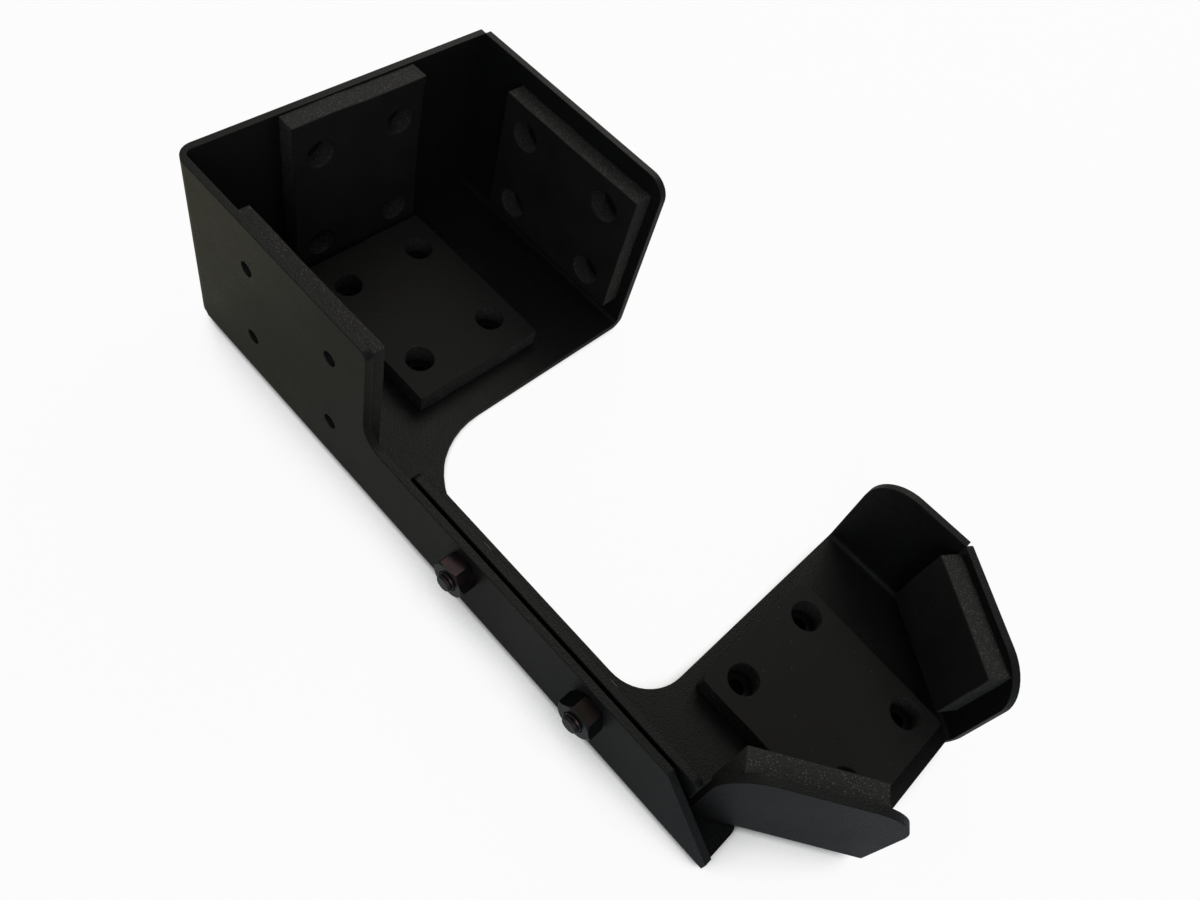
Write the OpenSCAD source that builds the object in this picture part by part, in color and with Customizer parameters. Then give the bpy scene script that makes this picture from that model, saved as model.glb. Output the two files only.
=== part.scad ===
// A scanner holder folded from two sheets of steel. A box takes the head of the scanner,
// and a cradle at the end of a long arm takes its body. Lengths are in millimetres.
// The holder stands on z = 0. x runs from the box to the cradle, y from the bolted flange to the open side.

/* [Sheet] */
// Thickness of the steel sheet
sheet_t = 2.4; // [2.2:0.1:2.6]
// Radius inside a fold
fold_inner = 1.8; // [1.4:0.1:2.2]
// Radius inside the upright fold at the box's folded back corner
corner_inner = 2.2; // [1.8:0.1:3]
// Radius outside that fold
corner_r = 6; // [5.6:0.1:6.6]
// Radius of the round reliefs where two folds meet
relief_r = 1.7; // [1.2:0.1:2]
// Gap left between a fold's end and the edge beside it
seam_gap = 0.4; // [0.3:0.1:0.8]
// Depth to which two edges run into each other at a closed seam
seam_join = 0.3; // [0.2:0.05:0.4]
// Radius of the weld in the cradle's closed corner
weld_r = 1.2; // [1:0.1:1.4]

/* [Box] */
// Outer width of the box, along y
box_wide = 115.3; // [110:0.5:120]
// Depth of the box, along x
box_deep = 87; // [85:0.5:90]
// Height of the box walls
box_high = 67.8; // [66:0.1:72]
// Radius of the right wall's free top corner
box_corner_r = 7; // [4:0.5:10]
// Radius of the left wall's free top corner
left_corner_r = 2.6; // [2:0.1:4]

/* [Arm] */
// Length of the lower sheet, from the box's back to the arm's end
arm_long = 230.4; // [228:0.1:233]
// Width of the lower arm
arm_wide = 16.3; // [14:0.1:18]
// Height of the arm's upright flange
arm_high = 29.6; // [28:0.1:31]
// Radius where the flange runs into the box's left wall
wall_fillet_r = 7.5; // [5:0.5:10]
// Radius where the arm runs into the box's floor
floor_fillet_r = 31; // [24:1:34]
// Slanted cut at the end of the flange
arm_chamfer = 22.2; // [18:0.1:22.2]
// Radius of the lower arm's free corner
arm_corner_r = 3; // [2:0.5:6]

/* [Cradle] */
// Start of the upper arm
upper_start = 104; // [102:0.5:108]
// Outer face of the upper flange, from the lower flange's outer face
upper_in = 3.8; // [3.2:0.1:4.6]
// Height of the upper flange above the lower sheet
upper_high = 26.8; // [24:0.1:27.2]
// Length of the upper flange
upper_long = 111.6; // [108:0.1:111.6]
// Width of the upper arm, from the lower flange's outer face
upper_wide = 18.4; // [17:0.1:20]
// Back edge of the cradle's floor
cradle_start = 192; // [188:0.5:196]
// Front edge of the cradle's floor
cradle_end = 257; // [254:0.5:259]
// Outer face of the cradle's straight far wall
cradle_far = 109.85; // [108:0.05:111]
// Height of the cradle's walls above the lower sheet
cradle_high = 41.2; // [38:0.1:46]
// Radius where the upper arm runs into the cradle's floor
cradle_fillet_r = 14.3; // [10:0.1:18]
// Front end of the slanted far wall, along x
slant_end = 259.2; // [258.5:0.1:260]
// Front end of the slanted near wall, along x
slant_near_end = 258.2; // [257.5:0.1:258.5]
// Front end of the slanted far wall, along y
slant_far_y = 84.4; // [83:0.1:86]
// Front end of the slanted near wall, along y
slant_near_y = 34.2; // [33.5:0.1:35]
// Slant of the cradle's two slanted walls
slant = 35; // [33:0.5:36]
// Length of the slanted near wall
slant_near_long = 49.6; // [47:0.1:49.8]
// Radius of the large free top corners
top_corner_r = 13; // [8:0.5:14]
// Radius of the upper flange's top corners
top_small_r = 2.5; // [1.5:0.5:4]
// Radius of the slanted far wall's top corner beside the closed seam
seam_top_r = 0.8; // [0.6:0.1:1.2]

/* [Screw holes] */
// Long spacing of the four-hole pattern
hole_long = 38.1; // [38:0.1:38.2]
// Short spacing of the four-hole pattern
hole_short = 30.2; // [30.1:0.1:30.3]
// Radius of the pattern's holes
hole_r = 2.5; // [2.2:0.05:2.8]
// Centre of the pattern in the side walls, along x
side_hole_x = 52.8; // [50:0.1:55]
// Centre of the pattern in the side walls, along z
side_hole_z = 35.5; // [34:0.1:37]
// Centre of the pattern in the back wall, along y
back_hole_y = 57.7; // [55:0.1:60]
// Centre of the pattern in the back wall, along z
back_hole_z = 34.5; // [33:0.1:36]
// Centre of the pattern in the box's floor, along x
floor_hole_x = 44; // [42:0.1:46]
// Centre of the pattern in the box's floor, along y
floor_hole_y = 56.6; // [54:0.1:59]
// Centre of the pattern in the cradle's floor, along x
cradle_hole_x = 223.9; // [222:0.1:226]
// Centre of the pattern in the cradle's floor, along y
cradle_hole_y = 58.6; // [57:0.1:60]

/* [Pads] */
// Thickness of the foam pads
pad_t = 7; // [6:0.1:7.5]
// Radius of the holes through the two floor pads, around the screw holes
pad_hole_r = 4.75; // [4.5:0.05:5.2]
// Radius of the holes through the box's back pad
back_pad_hole_r = 5; // [4.6:0.1:5.6]
// Radius of the holes through the box's side pads
side_pad_hole_r = 5.5; // [5:0.1:6]
// Radius of the pads' corners
pad_corner_r = 0.6; // [0.4:0.1:1.2]
// Length of the floor and back pads
pad_long = 65; // [62:0.1:66]
// Width of the floor and back pads
pad_wide = 50.3; // [48:0.1:52]
// Length of the two side pads
side_pad_long = 61; // [58:0.1:62]
// Height of the two side pads
side_pad_high = 49; // [47:0.1:50]
// Start of the side pads, along x
side_pad_start = 22.5; // [20:0.1:24]
// Height of the side pads' middle above the middle of their holes
side_pad_lift = 1.4; // [0:0.1:2]
// Length of the cradle's floor pad
cradle_pad_long = 56; // [54:0.1:57]
// Width of the cradle's floor pad
cradle_pad_wide = 49; // [46:0.1:49.5]
// Distance of that pad from the back edge of the cradle's floor
cradle_pad_back = 4; // [3:0.1:5]
// Near edge of that pad, along y
cradle_pad_near = 33.6; // [33.4:0.1:34.5]
// Drop of that pad's hand-cut far edge over its length
cradle_pad_skew = 2.4; // [0:0.1:2.6]
// Slanted trim at that pad's near front corner
cradle_pad_trim = 4; // [3:0.1:5]
// Slanted trim at that pad's far front corner
cradle_pad_far_trim = 1; // [0.6:0.1:2]
// Length of the pads on the slanted walls
slant_pad_long = 37; // [34:0.1:37.4]
// Start of the near slanted wall's pad, from that wall's free end
near_pad_start = 4.6; // [3.5:0.1:6]
// Distance of the far slanted wall's pad from the seam beside it
far_pad_in = 0.9; // [0.9:0.1:2]
// Height of the pads on the slanted walls
slant_pad_high = 28.8; // [26:0.1:29]
// Gap between those pads and the pad below them
pad_gap = 0.3; // [0.3:0.1:0.6]

/* [Bolts] */
// Radius of the joining bolts
bolt_r = 3; // [2.8:0.05:3.1]
// Radius of the bolt holes in the two flanges
bolt_hole_r = 3.3; // [3.2:0.05:3.5]
// Place of the first bolt along the arm
bolt_first_x = 132; // [130:0.1:134]
// Distance between the two bolts
bolt_step = 50.4; // [49:0.1:52]
// Height of the bolts
bolt_z = 20; // [19:0.1:20.5]
// Height of the low domed heads
head_high = 2.6; // [2.4:0.1:3]
// Height of the heads' straight rims
head_rim = 0.5; // [0.3:0.1:0.7]
// Radius of the flat top of each head
head_flat_r = 3; // [2.7:0.1:3.4]
// Radius of the heads
head_r = 5.2; // [5:0.1:5.4]
// Width across the flats of the key socket in each head
key_wide = 4; // [3:0.1:4.4]
// Depth of the key socket
key_deep = 1.4; // [1:0.1:1.6]
// Width of a nut across its flats
nut_wide = 11; // [10.8:0.1:11.2]
// Thickness of a nut
nut_t = 5.5; // [5.3:0.1:5.7]
// Clear room between a nut's bore and its bolt
nut_clear = 0.3; // [0.2:0.05:0.4]
// Slanted edge round both faces of a nut
nut_edge = 0.6; // [0.4:0.1:0.8]
// Length of bolt that stands out of its nut
bolt_out = 1.7; // [1.5:0.1:2.4]
// Slanted edge round the bolt's end
bolt_edge = 0.7; // [0.4:0.1:0.9]
// Pitch of the thread rings on the bolt's end
thread_pitch = 1; // [0.8:0.1:1.25]
// Depth of the thread rings
thread_deep = 0.35; // [0.2:0.05:0.4]
// Turn of the first nut on its bolt
nut_turn_first = 10; // [-30:1:30]
// Turn of the second nut on its bolt
nut_turn_second = -10; // [-30:1:30]

/* [Hidden] */
facets = 64;
arc_steps = 12;
through = 10;
fold_r = sheet_t + fold_inner;
corner_inner_at = sheet_t + corner_inner;
slant_far_turn = 180 - slant;
half_slant = tan(slant / 2);
far_corner_x = slant_end - (cradle_far - slant_far_y) / tan(slant);
far_wall_long = tenth(far_corner_x - sheet_t * half_slant + seam_join - cradle_start);
far_wall_x = cradle_start + far_wall_long;
slant_far_long = tenth((cradle_far - slant_far_y) / sin(slant) - sheet_t * half_slant + seam_join);
seam_at = sheet_t - seam_join;
back_wall_end = box_wide - seam_at;
fold_trim = tenth(2 * (fold_inner * half_slant + seam_join + seam_gap / 4));
weld_in = fold_r - 0.9 * weld_r;
bolt_tip = nut_t + bolt_out;
total_long = slant_end;
pad_top = 2 * sheet_t + pad_t;
slant_pad_low = pad_top + pad_gap;
side_pad_low = side_hole_z + side_pad_lift - side_pad_high / 2;
head_seat = -upper_in - sheet_t;
head_top = head_seat - head_high;
head_dome = head_high - head_rim;
thread_rings = 2;
thread_from = bolt_tip - bolt_edge - thread_rings * thread_pitch;

// A length rounded to a tenth of a millimetre.
function tenth(length) = round(10 * length) / 10;

// Points of a round arc about (x, y), from one angle to another.
function arc(x, y, r, from, to) =
    [for (i = [0 : arc_steps]) let (a = from + (to - from) * i / arc_steps) [x + r * cos(a), y + r * sin(a)]];

// A plate drawn in x and z, with its lower edge on z = low. A top corner whose radius is 0 is square.
function wall_outline(long, low, high, start_r, end_r) =
    concat([[0, low], [long, low]],
        end_r > 0 ? arc(long - end_r, high - end_r, end_r, 0, 90) : [[long, high]],
        start_r > 0 ? arc(start_r, high - start_r, start_r, 90, 180) : [[0, high]]);

// Stands a drawing in x and z up as a plate from y = 0 to y = thick.
module upright(thick) {
    translate([0, thick, 0])
        rotate([90, 0, 0])
            linear_extrude(height = thick)
                children();
}

// Moves everything so that the middle of the holder's underside box is the origin.
module set_out() {
    translate([-total_long / 2, -(box_wide - bolt_tip) / 2, 0])
        children();
}

// A quarter of a pipe along x, that joins a floor on z = 0 to a wall on y = 0.
module fold(long) {
    translate([0, fold_r, fold_r])
        rotate([0, 90, 0])
            difference() {
                intersection() {
                    cylinder(h = long, r = fold_r, $fn = facets);
                    translate([0, -fold_r, 0])
                        cube([fold_r, fold_r, long]);
                }
                translate([0, 0, -through])
                    cylinder(h = long + 2 * through, r = fold_inner, $fn = facets);
            }
}

// A wall with its fold below it. It starts at the origin, runs along x and its outer face is on y = 0.
// Beside an open seam the fold stops a little short of the wall's end.
module folded_wall(long, high, start_r, end_r, start_trim = 0, end_trim = 0) {
    translate([start_trim, 0, 0])
        fold(long - start_trim - end_trim);
    upright(sheet_t)
        polygon(wall_outline(long, fold_r, high, start_r, end_r));
}

// Four screw holes about the origin, through a floor that lies in x and y.
module four_holes(along_x, along_y, r) {
    for (x = [-1, 1] * along_x / 2)
        for (y = [-1, 1] * along_y / 2)
            translate([x, y, -through])
                cylinder(h = 2 * through, r = r, $fn = facets);
}

// The two bolt places, with children drawn along -y from the origin.
module at_bolts() {
    for (x = [bolt_first_x, bolt_first_x + bolt_step])
        translate([x, 0, bolt_z])
            rotate([90, 0, 0])
                children();
}

// The round cut at one end of a slanted wall's fold, in that wall's frame.
module end_relief(x) {
    translate([x, fold_r, -through])
        cylinder(h = 2 * through, r = relief_r, $fn = facets);
}

// Left wall of the box and flange of the arm, which are one plate.
module left_plate() {
    upright(sheet_t)
        polygon(concat(
            [[corner_r, fold_r], [arm_long, fold_r], [arm_long, arm_high - arm_chamfer],
                [arm_long - arm_chamfer, arm_high]],
            arc(box_deep + wall_fillet_r, arm_high + wall_fillet_r, wall_fillet_r, 270, 180),
            arc(box_deep - left_corner_r, box_high - left_corner_r, left_corner_r, 0, 90),
            [[corner_r, box_high]]));
}

// Floor of the box and web of the arm, flat between their folds.
module lower_floor() {
    linear_extrude(height = sheet_t)
        polygon(concat(
            [[seam_at, fold_r]],
            [[arm_long, fold_r]],
            arc(arm_long - arm_corner_r, arm_wide - arm_corner_r, arm_corner_r, 0, 90),
            arc(box_deep + floor_fillet_r, arm_wide + floor_fillet_r, floor_fillet_r, 270, 180),
            [[box_deep, box_wide - fold_r], [seam_at, box_wide - fold_r]]));
}

// Back wall of the box with the upright fold that joins it to the left wall. The fold is tight inside,
// and its outside is rounded further.
module back_plate() {
    translate([0, corner_r, 0])
        cube([sheet_t, back_wall_end - corner_r, box_high]);
    difference() {
        intersection() {
            translate([corner_r, corner_r, fold_r + seam_gap])
                cylinder(h = box_high - fold_r - seam_gap, r = corner_r, $fn = facets);
            cube([corner_r, corner_r, box_high]);
        }
        translate([corner_inner_at, corner_inner_at, 0])
            cylinder(h = box_high + through, r = corner_inner, $fn = facets);
        translate([corner_inner_at, sheet_t, 0])
            cube([corner_r, corner_r, box_high + through]);
        translate([sheet_t, corner_inner_at, 0])
            cube([corner_r, corner_r, box_high + through]);
    }
}

// The lower sheet: box, arm and their folds.
module head_bracket() {
    color("dimgray")
        set_out()
            difference() {
                union() {
                    lower_floor();
                    left_plate();
                    back_plate();
                    translate([corner_r + seam_gap, 0, 0])
                        fold(arm_long - corner_r - seam_gap);
                    translate([box_deep, box_wide, 0])
                        rotate([0, 0, 180])
                            folded_wall(box_deep - seam_at, box_high, box_corner_r, seam_gap);
                }
                translate([side_hole_x, 0, side_hole_z])
                    rotate([90, 0, 0])
                        four_holes(hole_long, hole_short, hole_r);
                translate([side_hole_x, box_wide, side_hole_z])
                    rotate([90, 0, 0])
                        four_holes(hole_long, hole_short, hole_r);
                translate([0, back_hole_y, back_hole_z])
                    rotate([0, 90, 0])
                        four_holes(hole_long, hole_short, hole_r);
                translate([floor_hole_x, floor_hole_y, 0])
                    four_holes(hole_long, hole_short, hole_r);
                at_bolts()
                    translate([0, 0, -through])
                        cylinder(h = 2 * through, r = bolt_hole_r, $fn = facets);
            }
}

// A slanted wall's frame: its start, with x along the wall and y into the cradle.
module near_frame() {
    translate([slant_near_end - slant_near_long * cos(slant), slant_near_y - slant_near_long * sin(slant), 0])
        rotate([0, 0, slant])
            children();
}

module far_frame() {
    translate([slant_end, slant_far_y, 0])
        rotate([0, 0, slant_far_turn])
            children();
}

// Floor of the cradle and web of the upper arm, cut back to the start of each fold.
module upper_floor() {
    difference() {
        linear_extrude(height = sheet_t)
            polygon(concat(
                [[upper_start, upper_in + fold_r], [cradle_end, upper_in + fold_r],
                    [cradle_end, cradle_far - fold_r], [cradle_start, cradle_far - fold_r]],
                arc(cradle_start - cradle_fillet_r, upper_wide + cradle_fillet_r, cradle_fillet_r, 0, -90),
                [[upper_start, upper_wide]]));
        near_frame()
            translate([-slant_near_long, fold_r - 2 * slant_near_long, -through])
                cube([3 * slant_near_long, 2 * slant_near_long, 2 * through]);
        far_frame()
            translate([-slant_far_long, fold_r - slant_far_long, -through])
                cube([3 * slant_far_long, slant_far_long, 2 * through]);
    }
}

// The weld that closes the corner between the two far walls' folds.
module corner_weld() {
    translate([far_corner_x - weld_in * half_slant, cradle_far - weld_in, 0])
        rotate_extrude($fn = facets)
            polygon([[0, fold_r / 16], [weld_r, fold_r / 16], [weld_r, 3 * fold_r / 4], [weld_r / 2, 7 * fold_r / 8],
                [0, 7 * fold_r / 8]]);
}

// The upper sheet: arm, cradle floor, its three walls and their folds.
module cradle_bracket() {
    color("dimgray")
        set_out()
            translate([0, 0, sheet_t])
                difference() {
                    union() {
                        upper_floor();
                        translate([upper_start, upper_in, 0])
                            folded_wall(upper_long, upper_high, top_small_r, top_small_r);
                        near_frame()
                            folded_wall(slant_near_long, cradle_high, top_corner_r, top_corner_r);
                        far_frame()
                            folded_wall(slant_far_long, cradle_high, top_corner_r, seam_top_r, 0, fold_trim);
                        translate([far_wall_x, cradle_far, 0])
                            rotate([0, 0, 180])
                                folded_wall(far_wall_long, cradle_high, 0, top_corner_r);
                        corner_weld();
                    }
                    translate([cradle_hole_x, cradle_hole_y, 0])
                        four_holes(hole_long, hole_short, hole_r);
                    translate([0, 0, -sheet_t])
                        at_bolts()
                            translate([0, 0, -through])
                                cylinder(h = 2 * through, r = bolt_hole_r, $fn = facets);
                    near_frame() {
                        end_relief(0);
                        end_relief(slant_near_long);
                    }
                }
}

// Points of a pad with trimmed round corners, from the origin.
function pad_outline(long, wide) = concat(
    arc(pad_corner_r, pad_corner_r, pad_corner_r, 180, 270),
    arc(long - pad_corner_r, pad_corner_r, pad_corner_r, 270, 360),
    arc(long - pad_corner_r, wide - pad_corner_r, pad_corner_r, 0, 90),
    arc(pad_corner_r, wide - pad_corner_r, pad_corner_r, 90, 180));

// A pad from the origin, in x and y, with four holes of radius r about a given centre.
module pad(long, wide, centre, r) {
    difference() {
        linear_extrude(height = pad_t)
            polygon(pad_outline(long, wide));
        translate(centre)
            four_holes(hole_long, hole_short, r);
    }
}

// A side pad from the origin, upright in x and z, with its back on y = 0.
module side_pad() {
    translate([side_pad_start, pad_t, side_pad_low])
        rotate([90, 0, 0])
            pad(side_pad_long, side_pad_high, [side_hole_x - side_pad_start, side_hole_z - side_pad_low, 0],
                side_pad_hole_r);
}

// A pad for a slanted wall, from the wall's start.
module slant_pad(start) {
    translate([start, sheet_t + pad_t, slant_pad_low])
        rotate([90, 0, 0])
            linear_extrude(height = pad_t)
                polygon(pad_outline(slant_pad_long, slant_pad_high));
}

module box_floor_pad() {
    color("darkslategray")
        set_out()
            translate([floor_hole_x - pad_long / 2, floor_hole_y - pad_wide / 2, sheet_t])
                pad(pad_long, pad_wide, [pad_long / 2, pad_wide / 2, 0], pad_hole_r);
}

module box_back_pad() {
    color("darkslategray")
        set_out()
            translate([sheet_t + pad_t, back_hole_y - pad_wide / 2, sheet_t])
                rotate([0, -90, 0])
                    pad(pad_long, pad_wide, [back_hole_z - sheet_t, pad_wide / 2, 0], back_pad_hole_r);
}

module box_left_pad() {
    color("darkslategray")
        set_out()
            translate([0, sheet_t, 0])
                side_pad();
}

module box_right_pad() {
    color("darkslategray")
        set_out()
            translate([0, box_wide - sheet_t - pad_t, 0])
                side_pad();
}

// The cradle's floor pad was cut by hand: its far edge is not quite square to its ends.
module cradle_floor_pad() {
    color("darkslategray")
        set_out()
            translate([cradle_start + cradle_pad_back, cradle_pad_near, 2 * sheet_t])
                difference() {
                    linear_extrude(height = pad_t)
                        polygon([[pad_corner_r, 0], [cradle_pad_long - cradle_pad_trim, 0],
                            [cradle_pad_long, cradle_pad_trim],
                            [cradle_pad_long, cradle_pad_wide - cradle_pad_skew - cradle_pad_far_trim],
                            [cradle_pad_long - cradle_pad_far_trim, cradle_pad_wide - cradle_pad_skew],
                            [pad_corner_r, cradle_pad_wide], [0, cradle_pad_wide - pad_corner_r],
                            [0, pad_corner_r]]);
                    translate([cradle_hole_x - cradle_start - cradle_pad_back, cradle_hole_y - cradle_pad_near, 0])
                        four_holes(hole_long, hole_short, pad_hole_r);
                }
}

module cradle_far_pad() {
    color("darkslategray")
        set_out()
            far_frame()
                slant_pad(slant_far_long - slant_pad_long - far_pad_in);
}

module cradle_near_pad() {
    color("darkslategray")
        set_out()
            near_frame()
                slant_pad(near_pad_start);
}

// Half of a bolt's section, from its domed head to the thread rings on its end.
function bolt_section() = concat(
    [[0, head_top], [head_flat_r, head_top]],
    [for (i = [1 : arc_steps]) let (a = 90 * i / arc_steps)
        [head_flat_r + (head_r - head_flat_r) * sin(a), head_top + head_dome * (1 - cos(a))]],
    [[head_r, head_seat], [bolt_r, head_seat], [bolt_r, thread_from]],
    [for (i = [0 : thread_rings - 1]) each [
        [bolt_r - thread_deep, thread_from + (i + 0.5) * thread_pitch],
        [bolt_r, thread_from + (i + 1) * thread_pitch]]],
    [[bolt_r - bolt_edge, bolt_tip], [0, bolt_tip]]);

module joining_bolts() {
    color("black")
        set_out()
            at_bolts()
                difference() {
                    rotate_extrude($fn = facets)
                        polygon(bolt_section());
                    translate([0, 0, head_top - key_deep])
                        cylinder(h = 2 * key_deep, r = key_wide / sqrt(3), $fn = 6);
                }
}

// One hexagon nut, standing on z = 0, with a slanted edge round both faces.
module nut(turn) {
    corner = nut_wide / sqrt(3);
    intersection() {
        rotate([0, 0, turn])
            cylinder(h = nut_t, r = corner, $fn = 6);
        rotate_extrude($fn = facets)
            polygon([[bolt_r + nut_clear, 0], [nut_wide / 2, 0], [corner, nut_edge], [corner, nut_t - nut_edge],
                [nut_wide / 2, nut_t], [bolt_r + nut_clear, nut_t]]);
    }
}

module hex_nuts() {
    color("black")
        set_out()
            for (n = [0, 1])
                translate([bolt_first_x + n * bolt_step, 0, bolt_z])
                    rotate([90, 0, 0])
                        nut(n == 0 ? nut_turn_first : nut_turn_second);
}

head_bracket();
cradle_bracket();
box_floor_pad();
box_back_pad();
box_left_pad();
box_right_pad();
cradle_floor_pad();
cradle_far_pad();
cradle_near_pad();
joining_bolts();
hex_nuts();
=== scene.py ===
"""Looks of a folded steel scanner holder: powder-coated sheet, foam pads and black zinc bolts."""

import math

import bmesh
import bpy
import numpy as np
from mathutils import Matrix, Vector


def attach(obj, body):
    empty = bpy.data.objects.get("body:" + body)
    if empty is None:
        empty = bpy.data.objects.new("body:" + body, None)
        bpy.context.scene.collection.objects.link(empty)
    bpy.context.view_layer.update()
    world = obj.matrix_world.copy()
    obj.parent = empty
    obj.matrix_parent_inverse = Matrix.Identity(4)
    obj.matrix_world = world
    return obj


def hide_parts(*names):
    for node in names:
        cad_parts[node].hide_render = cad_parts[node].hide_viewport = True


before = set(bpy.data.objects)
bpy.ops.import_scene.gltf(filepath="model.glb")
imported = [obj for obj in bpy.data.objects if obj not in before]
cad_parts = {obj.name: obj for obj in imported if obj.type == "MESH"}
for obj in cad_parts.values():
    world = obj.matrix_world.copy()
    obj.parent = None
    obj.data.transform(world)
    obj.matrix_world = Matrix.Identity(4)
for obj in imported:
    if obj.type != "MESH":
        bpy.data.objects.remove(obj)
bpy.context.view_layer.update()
MM = 0.001

# The part's origin is the middle of its underside. Places below are in millimetres from the box's
# back left corner, as in the part's source.
CORNER = np.array([-129.6, -54.05, 0.0])
SHEET = 2.4
BOX_WIDE = 115.3
BOX_FLOOR_HOLES = (44, 56.6)
BOX_BACK_HOLES = (57.7, 34.5)
BOX_SIDE_HOLES = (52.8, 35.5)
CRADLE_HOLES = (223.9, 58.6)
HOLE_STEPS = (38.1, 30.2)

# Foam pads: length, width and thickness, and the radii of their punched holes
FOAM = 7
BOX_PAD = (65, 50.3, FOAM)
SIDE_PAD = (61, 49, FOAM)
CRADLE_PAD = (56, 49, FOAM)
SLANT_PAD = (37, 28.8, FOAM)
FLOOR_HOLE_R = 4.75
BACK_HOLE_R = 5.0
SIDE_HOLE_R = 5.5
SIDE_PAD_START = 22.5
SIDE_PAD_LOW = 12.4
CRADLE_PAD_START = (196, 33.6)
SLANT_PAD_TOP = 40.9

# The cradle's slanted walls: their angle, the far one's start, the near one's end and length, and how
# far along each its pad starts
SLANT = math.radians(35)
FAR_WALL_START = (259.2, 84.4)
NEAR_WALL_END = (258.2, 34.2)
NEAR_WALL_LONG = 49.6
FAR_PAD_START = 6.0
NEAR_PAD_START = 4.6

# The photograph's own viewpoint, in metres, and the camera's turn in degrees
CAMERA_PLACE = (0.07556, -0.15032, 0.2691)
CAMERA_TURN = (34.09, -11.36, 46.18)


def make_camera():
    """A camera where the photographer stood, with a little shift in place of the lens's distortion."""
    lens = bpy.data.cameras.new("photo_camera")
    lens.sensor_fit = "HORIZONTAL"
    lens.sensor_width = 36
    lens.lens = 29.729
    lens.shift_x = 0.02165
    lens.shift_y = -0.02192
    lens.clip_start = 0.01
    camera = bpy.data.objects.new("photo_camera", lens)
    camera.location = CAMERA_PLACE
    camera.rotation_euler = [math.radians(angle) for angle in CAMERA_TURN]
    bpy.context.scene.collection.objects.link(camera)
    bpy.context.scene.camera = camera


def linear(hex_colour):
    """sRGB hex to a linear colour with full alpha."""
    parts = [int(hex_colour[i:i + 2], 16) / 255 for i in (1, 3, 5)]
    return tuple(c / 12.92 if c <= 0.04045 else ((c + 0.055) / 1.055) ** 2.4 for c in parts) + (1.0,)


def node(tree, kind, links=None, **settings):
    """Adds a node to the tree.

    settings are its properties or input values, and links maps an input to another node's socket.
    """
    made = tree.nodes.new(kind)
    for name, value in settings.items():
        if hasattr(made, name):
            setattr(made, name, value)
        else:
            made.inputs[name.replace("_", " ")].default_value = value
    for name, socket in (links or {}).items():
        tree.links.new(socket, made.inputs[name])
    return made


def new_material(name):
    """A material with an empty node tree, its output, and its object coordinates in millimetres."""
    made = bpy.data.materials.new(name)
    made.use_nodes = True
    tree = made.node_tree
    tree.nodes.clear()
    where = node(tree, "ShaderNodeTexCoord")
    scaled = node(tree, "ShaderNodeMapping", {"Vector": where.outputs["Object"]})
    scaled.inputs["Scale"].default_value = (1000, 1000, 1000)
    return made, tree, scaled.outputs["Vector"]


def ramp(tree, socket, stops):
    """A colour ramp from (place, value) stops. Values are greys, or hex colours."""
    made = node(tree, "ShaderNodeValToRGB", {"Fac": socket})
    marks = made.color_ramp.elements
    while len(marks) < len(stops):
        marks.new(0.5)
    for mark, (place, value) in zip(marks, stops):
        mark.position = place
        mark.color = linear(value) if isinstance(value, str) else (value, value, value, 1)
    return made.outputs["Color"]


def finish_surface(tree, colour, rough, height, depth, metallic=0.0, normal=None, **shader):
    """Joins colour, roughness and a height pattern, depth millimetres deep, to one Principled shader."""
    bump = node(tree, "ShaderNodeBump", {"Height": height}, Strength=1.0)
    bump.inputs["Distance"].default_value = depth * MM
    if normal:
        tree.links.new(normal, bump.inputs["Normal"])
    surface = node(tree, "ShaderNodeBsdfPrincipled",
                   {"Base Color": colour, "Roughness": rough, "Normal": bump.outputs["Normal"]})
    surface.inputs["Metallic"].default_value = metallic
    for name, value in shader.items():
        surface.inputs[name.replace("_", " ")].default_value = value
    node(tree, "ShaderNodeOutputMaterial", {"Surface": surface.outputs["BSDF"]})
    return surface


def dust_and_glint_specks(tree, mm, spacing, size, share):
    """A mask of pale specks, for fine dust and for painted glints: a speck of that size in some cells of a
    scatter with that spacing.
    """
    cells = node(tree, "ShaderNodeTexVoronoi", {"Vector": mm}, feature="F1", Scale=1 / spacing)
    core, rim = 0.3 * size / spacing, 0.5 * size / spacing
    speck = ramp(tree, cells.outputs["Distance"], [(core, 1.0), (rim, 0.0)])
    own = node(tree, "ShaderNodeSeparateColor", {"Color": cells.outputs["Color"]})
    chosen = node(tree, "ShaderNodeMath", {0: own.outputs["Red"]}, operation="LESS_THAN")
    chosen.inputs[1].default_value = share
    mask = node(tree, "ShaderNodeMath", {0: speck, 1: chosen.outputs["Value"]}, operation="MULTIPLY")
    return mask.outputs["Value"]


def with_dust_and_glint_specks(tree, base, mask, pale):
    """The base colour with the pale one where the mask is."""
    mix = node(tree, "ShaderNodeMixRGB", {"Fac": mask, "Color1": base}, Color2=linear(pale))
    return mix.outputs["Color"]


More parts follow.
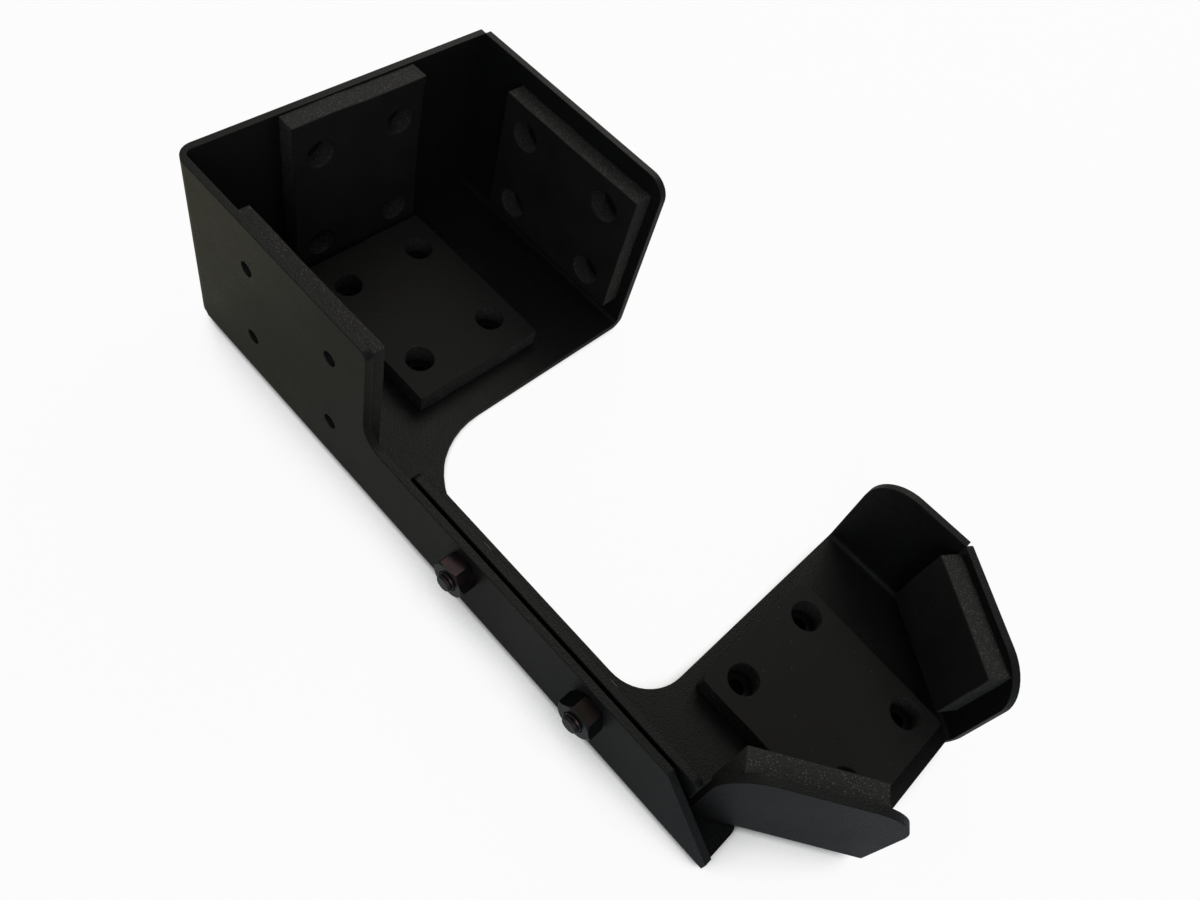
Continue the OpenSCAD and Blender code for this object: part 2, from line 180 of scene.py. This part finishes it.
def powder_coat():
    """Black polyester powder coat, sprayed and baked: a dull satin skin with a leathery grain.

    The grain is about half a millimetre wide. The coat draws round the sheet's cut edges, so they shine
    softly, and a little pale dust lies on it.
    """
    made, tree, mm = new_material("black_powder_coat")
    grain = node(tree, "ShaderNodeTexVoronoi", {"Vector": mm},
                 feature="SMOOTH_F1", Scale=2.1, Smoothness=0.5)
    fine = node(tree, "ShaderNodeTexNoise", {"Vector": mm}, Scale=3.4, Detail=3.0, Roughness=0.55)
    patches = node(tree, "ShaderNodeTexNoise", {"Vector": mm}, Scale=0.05, Detail=3.0, Roughness=0.6)
    height = node(tree, "ShaderNodeMath", {0: grain.outputs["Distance"], 1: fine.outputs["Fac"]},
                  operation="ADD")
    edges = node(tree, "ShaderNodeBevel", samples=6, Radius=0.5 * MM)
    base = ramp(tree, fine.outputs["Fac"], [(0.38, "#0a0b0a"), (0.62, "#151615")])
    colour = with_dust_and_glint_specks(tree, base, dust_and_glint_specks(tree, mm, 2.2, 0.2, 0.5), "#3c3c39")
    rough = ramp(tree, patches.outputs["Fac"], [(0.3, 0.43), (0.7, 0.48)])
    finish_surface(tree, colour, rough, height.outputs["Value"], 0.095, normal=edges.outputs["Normal"],
                   IOR=1.5, Specular_IOR_Level=0.13)
    return made


def foam_skin():
    """Closed-cell rubber foam, cut from sheet: its moulded face is smooth and dull, with pale dust."""
    made, tree, mm = new_material("foam_face")
    cells = node(tree, "ShaderNodeTexNoise", {"Vector": mm}, Scale=3.0, Detail=4.0, Roughness=0.65)
    broad = node(tree, "ShaderNodeTexNoise", {"Vector": mm}, Scale=0.09, Detail=4.0, Roughness=0.6)
    base = ramp(tree, broad.outputs["Fac"], [(0.3, "#131312"), (0.7, "#191918")])
    colour = with_dust_and_glint_specks(tree, base, dust_and_glint_specks(tree, mm, 2.4, 0.28, 0.4), "#585751")
    rough = ramp(tree, broad.outputs["Fac"], [(0.3, 0.62), (0.7, 0.72)])
    finish_surface(tree, colour, rough, cells.outputs["Fac"], 0.09, IOR=1.5, Specular_IOR_Level=0.12)
    return made


def foam_cut():
    """The same foam where a knife went through it: open cells of half a millimetre catch the light, and
    pale specks in its colour are painted glints of them.
    """
    made, tree, mm = new_material("foam_cut_edge")
    cells = node(tree, "ShaderNodeTexVoronoi", {"Vector": mm}, feature="F1", Scale=2.2)
    fine = node(tree, "ShaderNodeTexNoise", {"Vector": mm}, Scale=4.0, Detail=3.0, Roughness=0.7)
    height = node(tree, "ShaderNodeMath", {0: cells.outputs["Distance"], 1: fine.outputs["Fac"]},
                  operation="ADD")
    base = ramp(tree, fine.outputs["Fac"], [(0.35, "#191918"), (0.55, "#292927"), (0.75, "#474744")])
    # Painted glints: these pale specks stand for the open cells catching the light, they are not dust
    colour = with_dust_and_glint_specks(tree, base, dust_and_glint_specks(tree, mm, 0.5, 0.4, 0.3), "#52524e")
    rough = ramp(tree, fine.outputs["Fac"], [(0.3, 0.7), (0.7, 0.8)])
    finish_surface(tree, colour, rough, height.outputs["Value"], 0.25, IOR=1.5, Specular_IOR_Level=0.2)
    return made


def black_zinc():
    """Black passivated zinc plate: its dark passivation looks grey head on, then reddish, then teal, and
    its faces are painted darker as they turn from the camera, as painted shade.
    """
    made, tree, mm = new_material("black_zinc")
    slant = node(tree, "ShaderNodeLayerWeight", Blend=0.4)
    patches = node(tree, "ShaderNodeTexNoise", {"Vector": mm}, Scale=0.3, Detail=1.0, Roughness=0.4)
    film_and_facet_shade = node(tree, "ShaderNodeMath", {0: patches.outputs["Fac"], 2: slant.outputs["Facing"]},
                operation="MULTIPLY_ADD")
    film_and_facet_shade.inputs[1].default_value = 0.25
    grain = node(tree, "ShaderNodeTexNoise", {"Vector": mm}, Scale=2.5, Detail=3.0, Roughness=0.6)
    # The hues are the passivation's own; past the reddish stop the colours darken toward the slant, painted
    # shade for the nuts' side facets
    colour = ramp(tree, film_and_facet_shade.outputs["Value"],
                  [(0.12, "#25251f"), (0.25, "#37292a"), (0.36, "#1b2326"), (0.8, "#15191b")])
    rough = ramp(tree, grain.outputs["Fac"], [(0.3, 0.28), (0.7, 0.42)])
    finish_surface(tree, colour, rough, grain.outputs["Fac"], 0.02, metallic=0.9)
    return made


def side_stops(long, step, fine):
    """Distances along a side: fine steps beside both ends, and even ones of about step between them."""
    middle = np.linspace(fine[-1], long - fine[-1], max(3, round((long - 2 * fine[-1]) / step)))
    return np.concatenate([fine[:-1], middle, long - np.array(fine[:-1])[::-1]])


def cell_ring(low, high, step=1.5, fine=(0.0, 0.12, 0.3, 0.55, 0.9)):
    """Points round a rectangle from its low corner, anticlockwise, with the first one not repeated."""
    along = side_stops(high[0] - low[0], step, fine)[:-1]
    up = side_stops(high[1] - low[1], step, fine)[:-1]
    sides = [(low[0] + along, low[1] + 0 * along), (high[0] + 0 * up, low[1] + up),
             (high[0] - along, high[1] + 0 * along), (low[0] + 0 * up, high[1] - up)]
    return np.concatenate([np.stack(side, 1) for side in sides])


def wander(places, seed, sizes):
    """Slow smooth noise: for each (length, size) pair, two sines of that length in ways of their own."""
    rng = np.random.default_rng(seed)
    total = np.zeros(len(places))
    for length, size in sizes:
        ways = rng.normal(size=(2, 3))
        ways /= np.linalg.norm(ways, axis=1)[:, None] * length / (2 * math.pi)
        total += size * np.sin(places @ ways.T + rng.uniform(0, 2 * math.pi, 2)).sum(1) / 2
    return total


def off_outline(xy, outline):
    """For each point, its distance to the closed outline and the way straight in from there."""
    start, run = outline, np.roll(outline, -1, 0) - outline
    along = ((xy[:, None] - start) * run).sum(-1) / (run ** 2).sum(-1)
    gap = np.linalg.norm(xy[:, None] - start - np.clip(along, 0, 1)[..., None] * run, axis=-1)
    best = gap.argmin(1)
    inward = np.stack([-run[:, 1], run[:, 0]], 1) / np.linalg.norm(run, axis=1)[:, None]
    return gap[np.arange(len(xy)), best], inward[best]


def edge_drop(distance, radius):
    """How far a face has fallen at that distance from its cut edge: a quarter circle of that radius."""
    return radius - np.sqrt(radius ** 2 - np.clip(radius - distance, 0, radius) ** 2)


def ring_faces(rows, turns, first):
    """The four corners of every face of a grid whose turns close on themselves, numbered from first."""
    index = np.arange(rows * turns).reshape(rows, turns) + first
    after = np.roll(index, -1, 1)
    return np.stack([index[:-1], after[:-1], after[1:], index[1:]], -1)


# Rows of a pad's face, as shares of the way out from a hole: close together where the face rounds off
WAYS_AT_HOLE = (0, 0.006, 0.015, 0.03, 0.05)
WAYS_AT_EDGE = (0.92, 0.95, 0.97, 0.984, 0.994, 1)

# Radii in millimetres to which a pad's outer edge and its holes' rims are rounded
EDGE_R = 0.3
RIM_R = 0.25

# How a knife's cut strays: (wave length, size) pairs in millimetres, for the sides and for the face. Both
# are set back first, so that a pad stays inside its solid, and the sides' part fades out away from them.
SIDE_STRAY = [(47, 0.22), (15, 0.1), (3.3, 0.04)]
SIDE_SET_BACK = 0.2
SIDE_FADE = 3
FACE_STRAY = [(42, 0.08), (19, 0.04)]
FACE_SET_BACK = 0.12
FIRST_SEED = 11
SEED_STEP = 7

# Points nearer than this, in metres, are one point, and shorter edges than the second go
SAME_POINT = 4e-6
NO_EDGE = 1e-7


def foam_pad(name, size, holes, hole_r, shape, stand, seed, finishes):
    """A foam pad cut from sheet, with four punched holes or none.

    Each hole is the middle of a rectangular cell of the pad, and a plain pad is one cell. A point of the
    face is a straight blend from the hole's rim to the cell's edge, so its two parameters are the turn and
    the way out. The face falls in a quarter circle at its cut edges, the walls are rows below those edges,
    and they wander in and out as a knife's cut does. shape gives the pad's true outline from the rectangle,
    and stand puts it in place.
    """
    long, wide, thick = size
    if holes:
        xs, ys = sorted({h[0] for h in holes}), sorted({h[1] for h in holes})
        cut_x, cut_y = (0, sum(xs) / 2, long), (0, sum(ys) / 2, wide)
        cells = [((cut_x[i], cut_y[j]), (cut_x[i + 1], cut_y[j + 1]), (xs[i], ys[j]))
                 for i in (0, 1) for j in (0, 1)]
    else:
        cells = [((0, 0), (long, wide), (long / 2, wide / 2))]
    ways = np.concatenate([WAYS_AT_HOLE, np.linspace(0.09, 0.88, 12), WAYS_AT_EDGE])
    levels = np.linspace(0, 1, 8)[:, None, None]
    outline = shape(cell_ring((0, 0), (long, wide)))
    spots, faces, cut, count = [], [], [], 0
    for low, high, middle in cells:
        ring, middle = cell_ring(low, high), np.array(middle)
        rays = ring - middle
        rim = middle + hole_r * rays / np.linalg.norm(rays, axis=1)[:, None]
        flat = rim + (shape(ring) - rim) * ways[:, None, None]
        from_edge = off_outline(flat.reshape(-1, 2), outline)[0].reshape(flat.shape[:2])
        drop = edge_drop(from_edge, EDGE_R)
        if hole_r:
            drop = np.maximum(drop, edge_drop(np.linalg.norm(flat - middle, axis=-1) - hole_r, RIM_R))
        top = np.dstack([flat, thick - drop])
        base = np.dstack([flat, 0 * drop])
        beside = (ring + np.roll(ring, -1, 0)) / 2
        outer = np.abs(beside - np.clip(beside, 1e-6, np.array([long, wide]) - 1e-6)).max(1) > 5e-7
        wall = base[-1] + (top[-1] - base[-1]) * levels
        grids = [(top, True, None, False), (base, False, None, False), (wall, False, outer, True)]
        if hole_r:
            grids.append((base[0] + (top[0] - base[0]) * levels, True, None, True))
        for grid, turned, wanted, is_cut in grids:
            rows, turns = grid.shape[:2]
            quads = ring_faces(rows, turns, count)
            quads = quads[:, wanted] if wanted is not None else quads
            quads = quads.reshape(-1, 4)
            faces.append(quads[:, ::-1] if turned else quads)
            cut.append(np.full(len(quads), is_cut))
            spots.append(grid.reshape(-1, 3))
            count += rows * turns
    spots, faces, cut = np.concatenate(spots), np.concatenate(faces), np.concatenate(cut)
    from_edge, inward = off_outline(spots[:, :2], outline)
    knife = SIDE_SET_BACK + wander(spots, seed, SIDE_STRAY)
    spots[:, :2] += inward * (knife * np.clip(1 - from_edge / SIDE_FADE, 0, 1) ** 2)[:, None]
    sag = FACE_SET_BACK + wander(spots, seed + 1, FACE_STRAY)
    spots[:, 2] -= np.clip(spots[:, 2] / thick * 2 - 1, 0, 1) * sag
    mesh = bpy.data.meshes.new(name)
    mesh.from_pydata((stand(spots) * MM).tolist(), [], faces.tolist())
    mesh.polygons.foreach_set("material_index", cut.astype(np.int32))
    mesh.polygons.foreach_set("use_smooth", np.ones(len(faces), bool))
    return join_seams(name, mesh, finishes)


def join_seams(name, mesh, finishes):
    """Merges the points that a mesh's patches share and makes it an object with those materials."""
    work = bmesh.new()
    work.from_mesh(mesh)
    bmesh.ops.remove_doubles(work, verts=work.verts, dist=SAME_POINT)
    bmesh.ops.dissolve_degenerate(work, dist=NO_EDGE, edges=work.edges)
    work.to_mesh(mesh)
    work.free()
    for finish in finishes:
        mesh.materials.append(finish)
    piece = bpy.data.objects.new(name, mesh)
    bpy.context.scene.collection.objects.link(piece)
    return piece


def rounded(size, radius=0.6, bow=0.0, fade=8):
    """The outline of a rectangle whose corners are drawn in to a small radius.

    bow is how far the side at y = 0 is hollow in its middle, falling off as a parabola to its ends, and
    fade is how far into the pad that is felt.
    """
    long, wide = size[:2]
    low, high = np.array([radius, radius]), np.array([long - radius, wide - radius])

    def shape(xy):
        heart = np.clip(xy, low, high)
        out = xy - heart
        corner = (np.abs(out) > 1e-9).all(1)
        reach = np.maximum(np.linalg.norm(out, axis=1), 1e-9)[:, None]
        on_side = (np.abs(xy - np.array([long, wide]) / 2) > np.array([long, wide]) / 2 - 1e-6).any(1)
        drawn = np.where((corner & on_side)[:, None], heart + out / reach * radius, xy)
        share = xy[:, 0] / long
        drawn[:, 1] += bow * 4 * share * (1 - share) * np.clip(1 - xy[:, 1] / fade, 0, 1) ** 2
        return drawn
    return shape


def hand_cut(size, skew=2.4, near_trim=4.0, far_trim=1.0, start_trims=(1.2, 2.6), hold=34.0):
    """A pad whose far edge falls by skew along its length and whose corners are cut off slantwise."""
    long, wide = size[:2]

    def shape(xy):
        out = xy.astype(float).copy()
        for side, trim in ((0, near_trim), (wide, far_trim)):
            over = trim - (long - xy[:, 0]) - np.abs(xy[:, 1] - side)
            step = np.clip(over, 0, None) / 2
            out[:, 0] -= step
            out[:, 1] += step * (1 if side == 0 else -1)
        for side, trim in zip((0, wide), start_trims):
            over = trim - out[:, 0] - np.abs(out[:, 1] - side)
            step = np.clip(over, 0, None) / 2
            out[:, 0] += step
            out[:, 1] += step * (1 if side == 0 else -1)
        out[:, 1] -= skew * out[:, 0] / long * np.clip((out[:, 1] - hold) / (wide - hold), 0, 1)
        return out
    return shape


def stand_up(origin, x_way, y_way, z_way):
    """Puts a pad drawn in its own x, y and z where those three directions run from its origin."""
    turn = np.array([x_way, y_way, z_way], float)
    return lambda spots: spots @ turn + np.array(origin) + CORNER


def four(x, y):
    """The middles of the four holes about (x, y), in the pad's own x and y."""
    return [(x + i * HOLE_STEPS[0] / 2, y + j * HOLE_STEPS[1] / 2) for i in (-1, 1) for j in (-1, 1)]


make_camera()
coat, zinc = powder_coat(), black_zinc()
foam = [foam_skin(), foam_cut()]
for steel in ("head_bracket", "cradle_bracket"):
    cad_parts[steel].data.materials.clear()
    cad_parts[steel].data.materials.append(coat)
for fastener in ("joining_bolts", "hex_nuts"):
    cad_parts[fastener].data.materials.clear()
    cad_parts[fastener].data.materials.append(zinc)

UP, DOWN = (0, 0, 1), (0, 0, -1)
along = np.array([math.cos(SLANT), math.sin(SLANT), 0])
lean = np.array([-math.sin(SLANT), math.cos(SLANT), 0])
far_along, far_lean = along * (-1, 1, 1), lean * (1, -1, 1)
far_top = np.array([*FAR_WALL_START, SLANT_PAD_TOP]) + FAR_PAD_START * far_along + SHEET * far_lean
near_start = NEAR_PAD_START - NEAR_WALL_LONG
near_top = np.array([*NEAR_WALL_END, SLANT_PAD_TOP]) + near_start * along + SHEET * lean

# Each pad: the solid that it replaces, its size, its holes' middles and radius, its outline and its place
PADS = [
    ("box_floor_pad", BOX_PAD, four(BOX_PAD[0] / 2, BOX_PAD[1] / 2), FLOOR_HOLE_R, rounded(BOX_PAD),
     stand_up((BOX_FLOOR_HOLES[0] - BOX_PAD[0] / 2, BOX_FLOOR_HOLES[1] - BOX_PAD[1] / 2, SHEET),
              (1, 0, 0), (0, 1, 0), UP)),
    ("box_back_pad", BOX_PAD, four(BOX_BACK_HOLES[1] - SHEET, BOX_PAD[1] / 2), BACK_HOLE_R,
     rounded(BOX_PAD, bow=1.1),
     stand_up((SHEET, BOX_BACK_HOLES[0] + BOX_PAD[1] / 2, SHEET), UP, (0, -1, 0), (1, 0, 0))),
    ("box_left_pad", SIDE_PAD,
     four(BOX_SIDE_HOLES[0] - SIDE_PAD_START, SIDE_PAD_LOW + SIDE_PAD[1] - BOX_SIDE_HOLES[1]), SIDE_HOLE_R,
     rounded(SIDE_PAD),
     stand_up((SIDE_PAD_START, SHEET, SIDE_PAD_LOW + SIDE_PAD[1]), (1, 0, 0), DOWN, (0, 1, 0))),
    ("box_right_pad", SIDE_PAD,
     four(BOX_SIDE_HOLES[0] - SIDE_PAD_START, BOX_SIDE_HOLES[1] - SIDE_PAD_LOW), SIDE_HOLE_R,
     rounded(SIDE_PAD),
     stand_up((SIDE_PAD_START, BOX_WIDE - SHEET, SIDE_PAD_LOW), (1, 0, 0), UP, (0, -1, 0))),
    ("cradle_floor_pad", CRADLE_PAD,
     four(CRADLE_HOLES[0] - CRADLE_PAD_START[0], CRADLE_HOLES[1] - CRADLE_PAD_START[1]), FLOOR_HOLE_R,
     hand_cut(CRADLE_PAD), stand_up((*CRADLE_PAD_START, 2 * SHEET), (1, 0, 0), (0, 1, 0), UP)),
    ("cradle_far_pad", SLANT_PAD, [], 0, rounded(SLANT_PAD), stand_up(far_top, far_along, DOWN, far_lean)),
    ("cradle_near_pad", SLANT_PAD, [], 0, rounded(SLANT_PAD), stand_up(near_top, along, DOWN, lean)),
]
for number, (stands_for, size, holes, hole_r, shape, stand) in enumerate(PADS):
    seed = FIRST_SEED + SEED_STEP * number
    pad = foam_pad("foam_" + stands_for, size, holes, hole_r, shape, stand, seed, foam)
    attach(pad, "root")
    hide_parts(stands_for)


def plain_floor():
    """A wide pale floor that keeps the object's shadow, with painted shade and painted light added.

    The camera sees it nearly as plain white. Reflections see it as pale, with a painted tint that is
    faintly warm on the left and cool on the right. Where the sheet and the pads close it in, under their
    holes and a little along its sides, it has painted shade: its colour darkens and its white glow fades
    with ambient occlusion.
    """
    made = bpy.data.materials.new("pale_floor")
    made.use_nodes = True
    tree = made.node_tree
    tree.nodes.clear()
    path = node(tree, "ShaderNodeLightPath")
    sky = node(tree, "ShaderNodeAmbientOcclusion", Distance=0.05)
    where = node(tree, "ShaderNodeTexCoord")
    sides = node(tree, "ShaderNodeSeparateXYZ", {"Vector": where.outputs["Object"]})
    # Painted light: a warm tint on the left and a cool one on the right, seen in reflections and bounce
    # light, never by the camera
    across = node(tree, "ShaderNodeMapRange", {"Value": sides.outputs["X"]}, From_Min=-0.2, From_Max=0.3)
    tint = ramp(tree, across.outputs["Result"], [(0.0, "#fbf7d9"), (1.0, "#dce6ff")])
    lit = node(tree, "ShaderNodeMixRGB", {"Fac": path.outputs["Is Camera Ray"], "Color1": tint},
               Color2=(1, 1, 1, 1))
    mirrored = node(tree, "ShaderNodeMath",
                    {0: path.outputs["Is Glossy Ray"], 1: path.outputs["Is Transmission Ray"]},
                    operation="MAXIMUM")
    part = node(tree, "ShaderNodeMath", {0: mirrored.outputs["Value"]}, operation="MULTIPLY")
    part.inputs[1].default_value = 0.2
    seen = node(tree, "ShaderNodeMath", {0: path.outputs["Is Camera Ray"], 1: part.outputs["Value"]},
                operation="MAXIMUM")
    # Painted shade: where ambient occlusion is low, near the object and under its holes, the white glow
    # fades and the colour darkens
    clear = ramp(tree, sky.outputs["AO"], [(0.28, 0.0), (0.6, 0.95)])
    share = node(tree, "ShaderNodeMath", {0: seen.outputs["Value"], 1: clear}, operation="MULTIPLY")
    colour = ramp(tree, sky.outputs["AO"], [(0.28, "#1c1c1c"), (0.5, "#cccccc")])
    painted_shade_and_tint = node(tree, "ShaderNodeMixRGB", {"Color1": colour, "Color2": lit.outputs["Color"]},
                  blend_type="MULTIPLY", Fac=1.0)
    dull = node(tree, "ShaderNodeBsdfDiffuse", {"Color": painted_shade_and_tint.outputs["Color"]})
    plain = node(tree, "ShaderNodeEmission", {"Color": lit.outputs["Color"]}, Strength=1.0)
    both = node(tree, "ShaderNodeMixShader",
                {0: share.outputs["Value"], 1: dull.outputs["BSDF"], 2: plain.outputs["Emission"]})
    node(tree, "ShaderNodeOutputMaterial", {"Surface": both.outputs["Shader"]})
    mesh = bpy.data.meshes.new("floor")
    reach, low = 3, -0.0002
    corners = [(x * reach, y * reach, low) for x, y in ((-1, -1), (1, -1), (1, 1), (-1, 1))]
    mesh.from_pydata(corners, [], [(0, 1, 2, 3)])
    mesh.materials.append(made)
    floor = bpy.data.objects.new("floor", mesh)
    bpy.context.scene.collection.objects.link(floor)


def soft_box(name, place, size, watts, tint, target=(0, 0, 0.02)):
    """A large square lamp at a place, facing the target, with a faint tint."""
    lamp = bpy.data.lights.new(name, "AREA")
    lamp.shape = "SQUARE"
    lamp.size = size
    lamp.energy = watts
    lamp.color = linear(tint)[:3]
    made = bpy.data.objects.new(name, lamp)
    made.location = place
    made.rotation_euler = (Vector(target) - Vector(place)).to_track_quat("-Z", "Y").to_euler()
    bpy.context.scene.collection.objects.link(made)


def pale_world():
    """A grey surround for light, seen by the camera as plain white."""
    world = bpy.data.worlds.new("pale_world")
    world.use_nodes = True
    tree = world.node_tree
    tree.nodes.clear()
    path = node(tree, "ShaderNodeLightPath")
    glow = node(tree, "ShaderNodeBackground", Strength=0.4)
    white = node(tree, "ShaderNodeBackground", Strength=1.0)
    glow.inputs["Color"].default_value = (1, 1, 1, 1)
    white.inputs["Color"].default_value = (1, 1, 1, 1)
    both = node(tree, "ShaderNodeMixShader",
                {0: path.outputs["Is Camera Ray"], 1: glow.outputs["Background"],
                 2: white.outputs["Background"]})
    node(tree, "ShaderNodeOutputWorld", {"Surface": both.outputs["Shader"]})
    bpy.context.scene.world = world


plain_floor()
soft_box("high_lamp", (-0.35, 0.6, 0.75), 0.6, 5, "#fffaf2")
soft_box("front_lamp", (0.6, -0.7, 0.6), 0.6, 3, "#eef4ff")
pale_world()
bpy.context.scene.view_settings.view_transform = "Standard"
